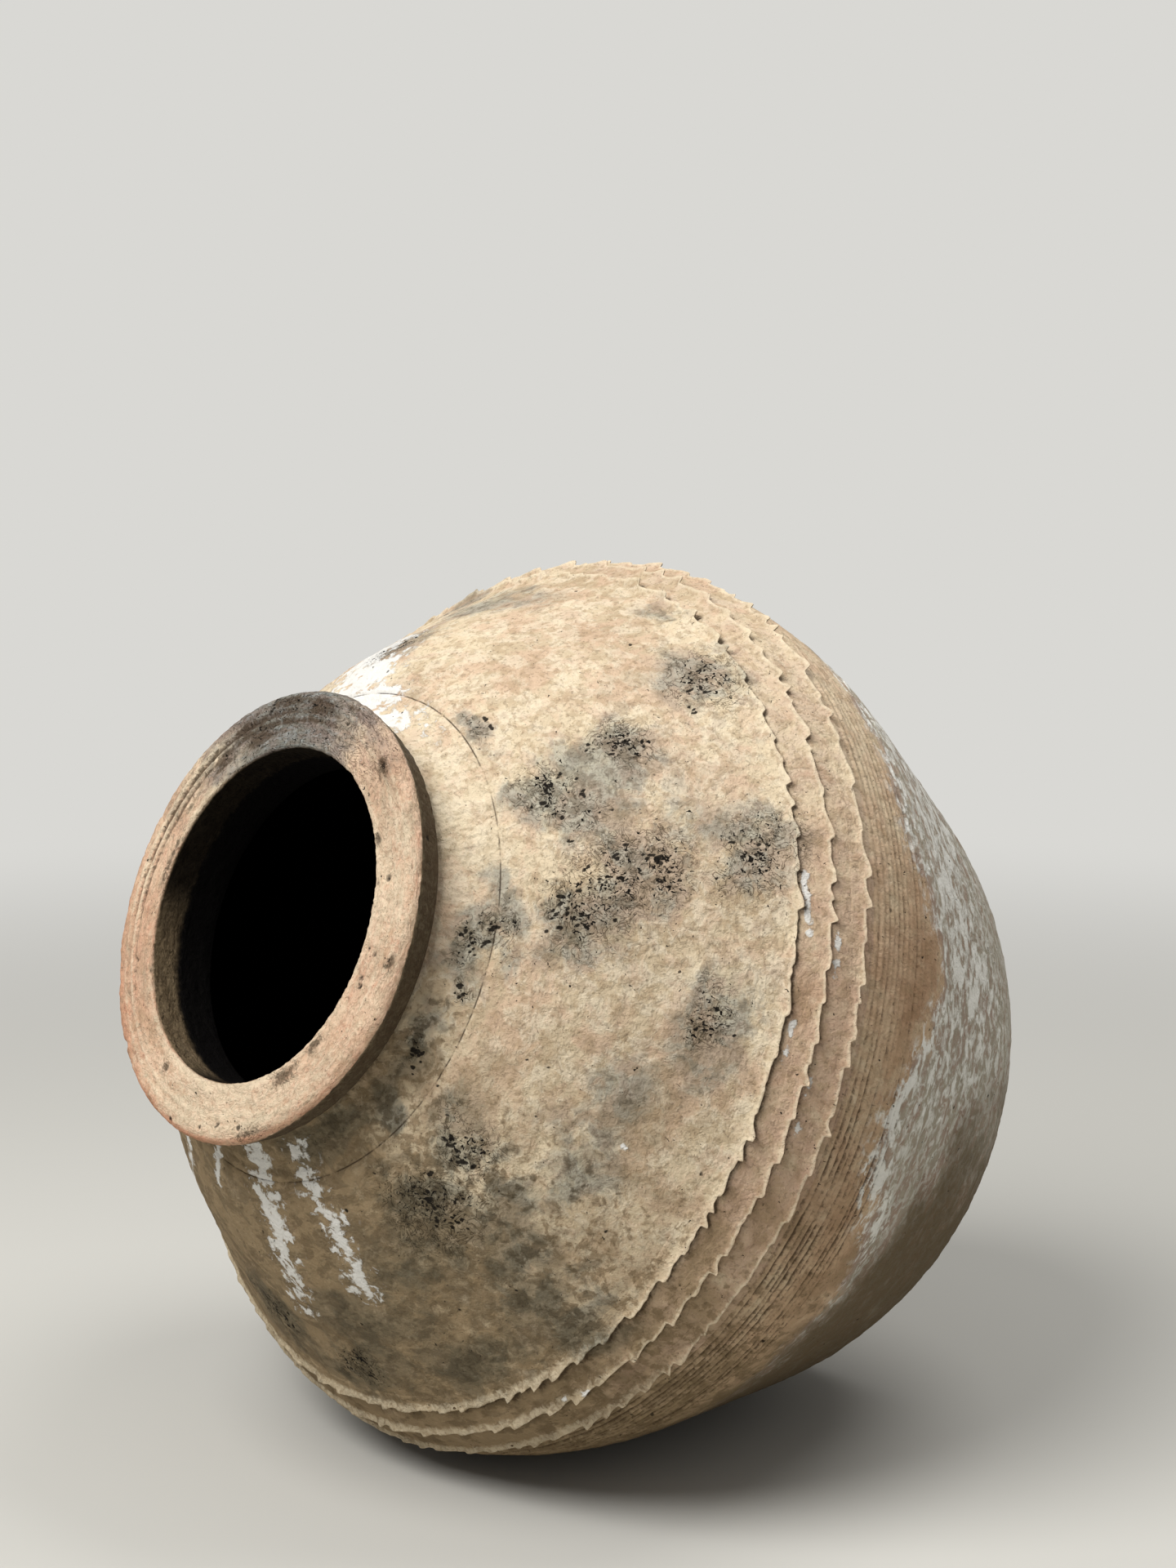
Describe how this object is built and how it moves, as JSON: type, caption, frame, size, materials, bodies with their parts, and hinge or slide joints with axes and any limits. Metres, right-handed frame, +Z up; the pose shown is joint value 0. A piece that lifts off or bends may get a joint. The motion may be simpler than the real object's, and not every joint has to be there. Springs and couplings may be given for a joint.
{
  "type": "olive jar",
  "caption": "Big-bellied fired clay olive jar lying on its side, with a thick turned collar, frilled lips round the belly and a combed band below them.",
  "frame": {"origin": "the middle of the jar's footprint on the floor, as it lies on its belly", "axes": "+Z up from the floor; the jar's axis lies in the YZ plane, with the mouth towards -Y and raised, and the foot towards +Y"},
  "size_m": [0.6325, 0.6455, 0.6104],
  "materials": {
    "sand_clay": "unglazed, sand-coloured skin, mottled and sooty",
    "combed_clay": "unglazed, combed while wet",
    "limewashed_clay": "unglazed, worn lime wash over terracotta",
    "rim_clay": "unglazed, turned, orange-pink terracotta"
  },
  "bodies": {
    "root": {"belt_wall": "sand_clay", "shoulder": "sand_clay", "neck": "sand_clay", "lower_frill": "sand_clay", "middle_frill": "sand_clay", "upper_frill": "sand_clay", "combed_wall": "combed_clay", "lower_wall": "limewashed_clay", "foot_wall": "limewashed_clay", "base_slab": "limewashed_clay", "rim_collar": "rim_clay"}
  },
  "joints": []
}
